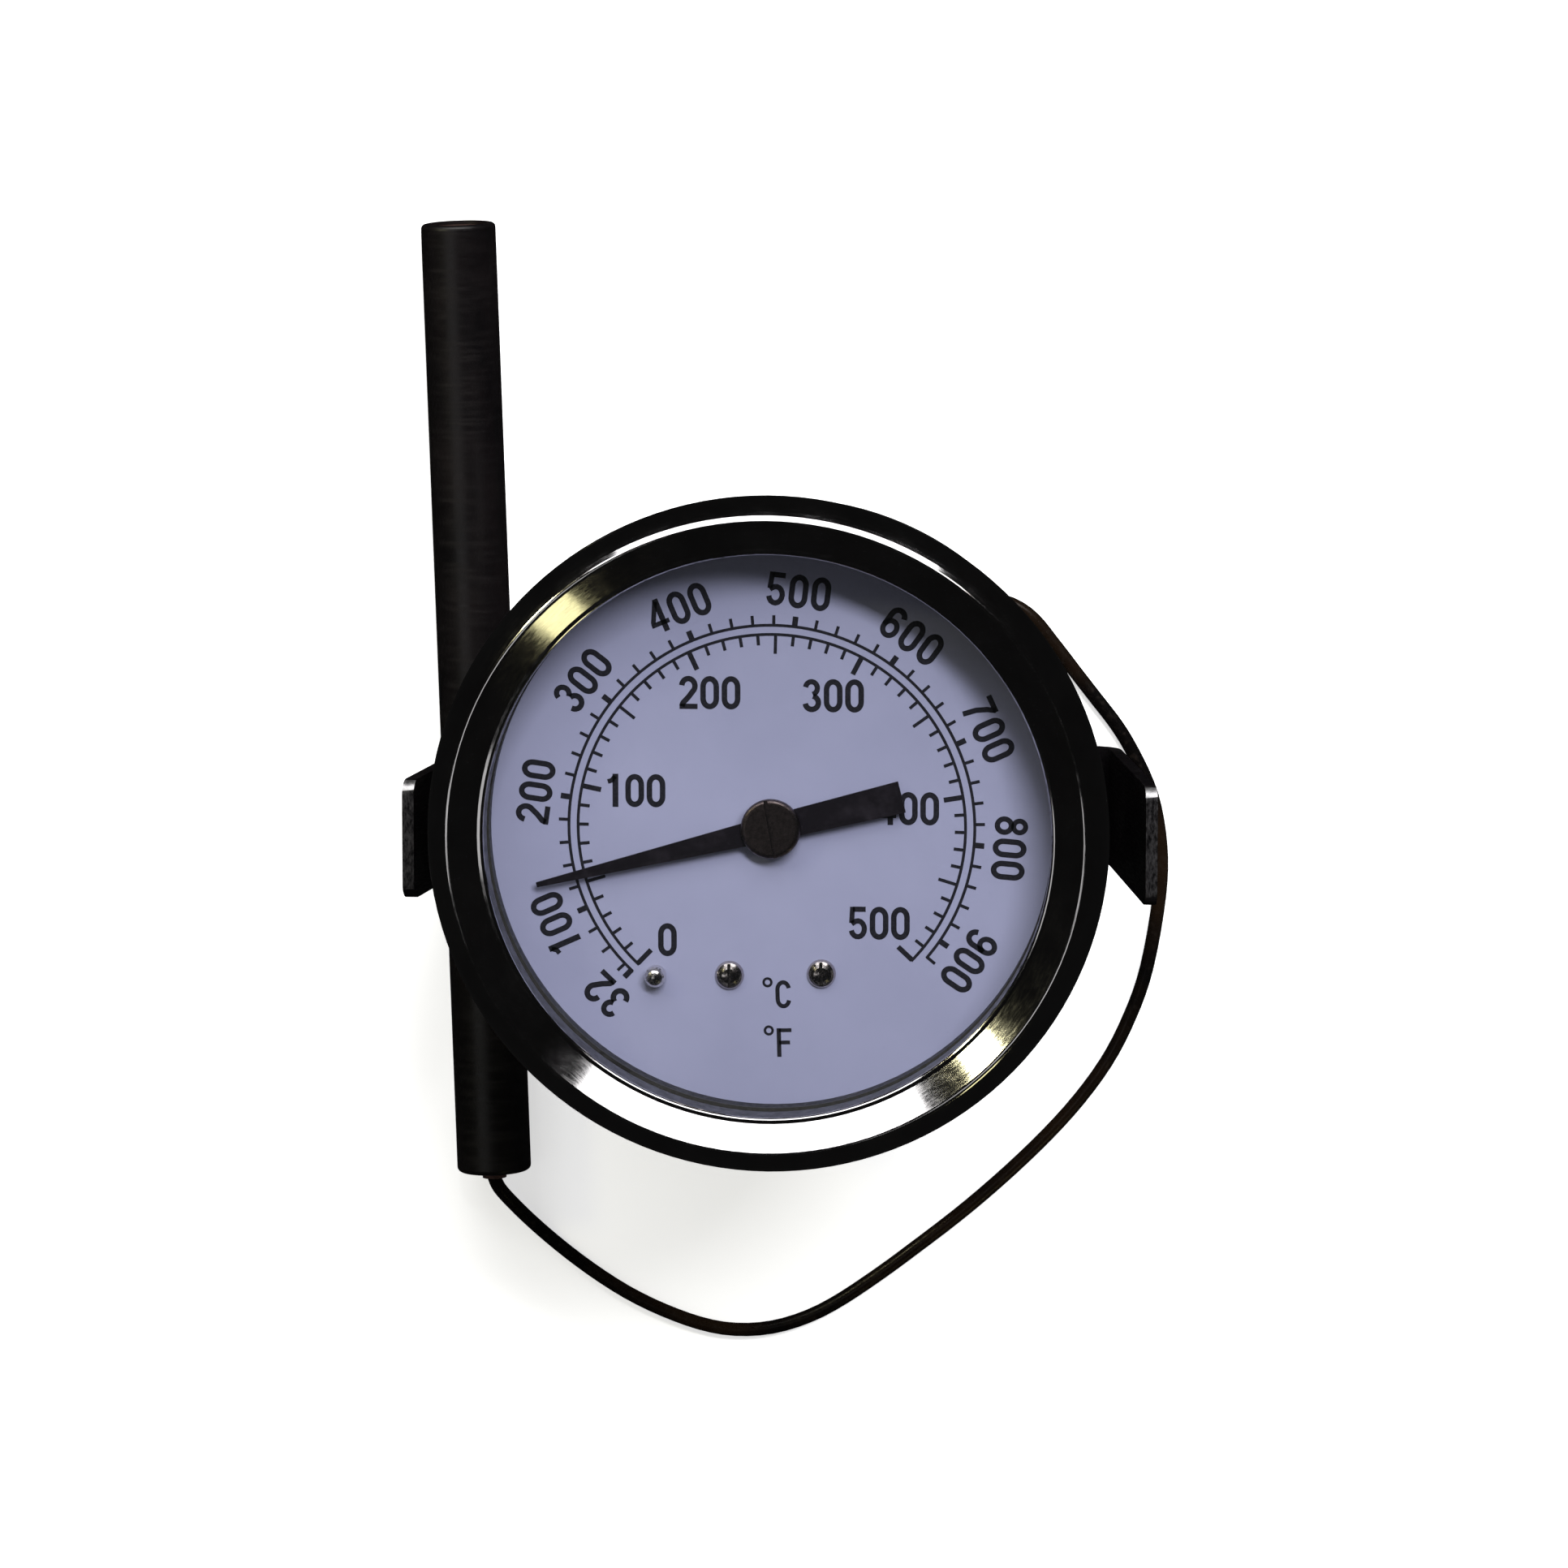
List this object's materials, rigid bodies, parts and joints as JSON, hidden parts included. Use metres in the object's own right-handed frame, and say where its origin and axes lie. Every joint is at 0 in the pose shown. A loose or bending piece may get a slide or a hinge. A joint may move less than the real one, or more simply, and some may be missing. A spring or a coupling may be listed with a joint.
{
  "type": "capillary panel thermometer",
  "caption": "Round panel-mounted dial thermometer with a chromed bezel, black case, U-shaped rear clamp and a pencil-shaped remote sensing bulb on a coiled capillary.",
  "frame": {"origin": "on the dial's axis, in the plane of the panel's front face, which is the rear face of the bezel's flange", "axes": "+Z out of the dial towards the reader, +Y towards 12 o'clock, +X towards 3 o'clock; the part lies on its back"},
  "size_m": [0.0802, 0.1218, 0.0549],
  "materials": {
    "case_black": "black stoved enamel on drawn steel, satin",
    "bezel_plate": "polished chrome plate on pressed sheet",
    "window": "clear flat glass",
    "gasket_rubber": "black, matt",
    "spacer_black": "black, matt",
    "dial_face": "lavender-grey lacquered sheet with black print",
    "screw_nickel": "nickel plated, slightly tarnished",
    "movement_brass": "machined brass, satin",
    "tube_bronze": "drawn phosphor bronze, soft sheen",
    "steel_bright": "turned steel, bright",
    "spring_blue": "blued spring strip",
    "pointer_black": "matt black paint",
    "washer_fibre": "red-brown vulcanised fibre",
    "sleeve_black": "black moulded sleeve, matt",
    "clamp_steel": "dark phosphated steel strip, sheared edges brighter",
    "stud_steel": "zinc plated",
    "bulb_metal": "heat-browned copper alloy, near black, fine circumferential brushing",
    "bulb_end": "red-brown oxidised copper",
    "capillary_metal": "heat-browned copper, glossy"
  },
  "bodies": {
    "case": {"case_cup": "case_black", "bezel_ring": "bezel_plate", "window_glass": "window", "window_gasket": "gasket_rubber", "dial_spacer": "spacer_black", "dial_plate": "dial_face", "dial_screws": "screw_nickel", "stop_pin": "screw_nickel", "dial_pillars": "movement_brass", "socket_block": "movement_brass", "socket_screws": "stud_steel", "stem_washer": "washer_fibre", "gland_nut": "movement_brass", "strain_relief": "sleeve_black", "bourdon_tube": "tube_bronze", "back_plate": "movement_brass", "front_plate": "movement_brass", "movement_posts": "movement_brass", "movement_screws": "steel_bright", "hairspring": "spring_blue", "hairspring_stud": "movement_brass", "clamp_studs": "stud_steel", "bulb_tube": "bulb_metal", "bulb_end_plug": "bulb_end", "bulb_neck_plug": "bulb_end", "capillary_lead": "capillary_metal", "capillary_coil": "capillary_metal", "capillary_run": "capillary_metal"},
    "sector": {"sector_gear": "movement_brass", "sector_arbor": "steel_bright", "tail_pin": "steel_bright"},
    "pointer_set": {"pinion_arbor": "steel_bright", "hairspring_collet": "movement_brass", "pointer": "pointer_black", "pointer_cap": "screw_nickel"},
    "link": {"link_bar": "movement_brass"},
    "tip": {"bourdon_tip": "movement_brass", "tip_pin": "steel_bright"},
    "clamp": {"u_clamp": "clamp_steel", "spring_washers": "stud_steel"},
    "nut_left": {"nut_left": "stud_steel"},
    "nut_right": {"nut_right": "stud_steel"}
  },
  "joints": [
    {"name": "sector_swing", "type": "hinge", "parent": "case", "child": "sector", "pos_m": [0.0095, -0.0096, -0.0148], "axis": [0, 0, 1], "range_deg": [-4.06, 30.25], "stiffness_Nm_per_rad": 0.05},
    {"name": "pointer_spin", "type": "hinge", "parent": "case", "child": "pointer_set", "pos_m": [0, 0, -0.0148], "axis": [0, 0, -1], "range_deg": [-32.5, 242], "deforming": ["hairspring"]},
    {"name": "tip_slide", "type": "slide", "parent": "case", "child": "tip", "axis": [0.8526, 0.5225, 0], "range_m": [-0.00042, 0.00312], "deforming": ["bourdon_tube"]},
    {"name": "link_swing", "type": "hinge", "parent": "sector", "child": "link", "pos_m": [0.01139, -0.01529, -0.0137], "axis": [0, 0, 1], "range_deg": [-30.25, 4.06]},
    {"name": "clamp_slide", "type": "slide", "parent": "case", "child": "clamp", "axis": [0, 0, 1], "range_m": [0, 0.0105]},
    {"name": "nut_left_turn", "type": "hinge", "parent": "clamp", "child": "nut_left", "pos_m": [-0.0175, -0.0028, -0.0444], "axis": [0, 0, 1], "range_deg": [0, 5400]},
    {"name": "nut_right_turn", "type": "hinge", "parent": "clamp", "child": "nut_right", "pos_m": [0.0175, -0.0028, -0.0444], "axis": [0, 0, 1], "range_deg": [0, 5400]}
  ],
  "couplings": [
    {"joint": "pointer_spin", "follows": "sector_swing", "ratio": 8},
    {"joint": "tip_slide", "follows": "sector_swing", "m_per_rad": 0.0059},
    {"joint": "link_swing", "follows": "sector_swing", "ratio": -1},
    {"joint": "nut_left_turn", "follows": "clamp_slide", "rad_per_m": 8976},
    {"joint": "nut_right_turn", "follows": "clamp_slide", "rad_per_m": 8976}
  ]
}
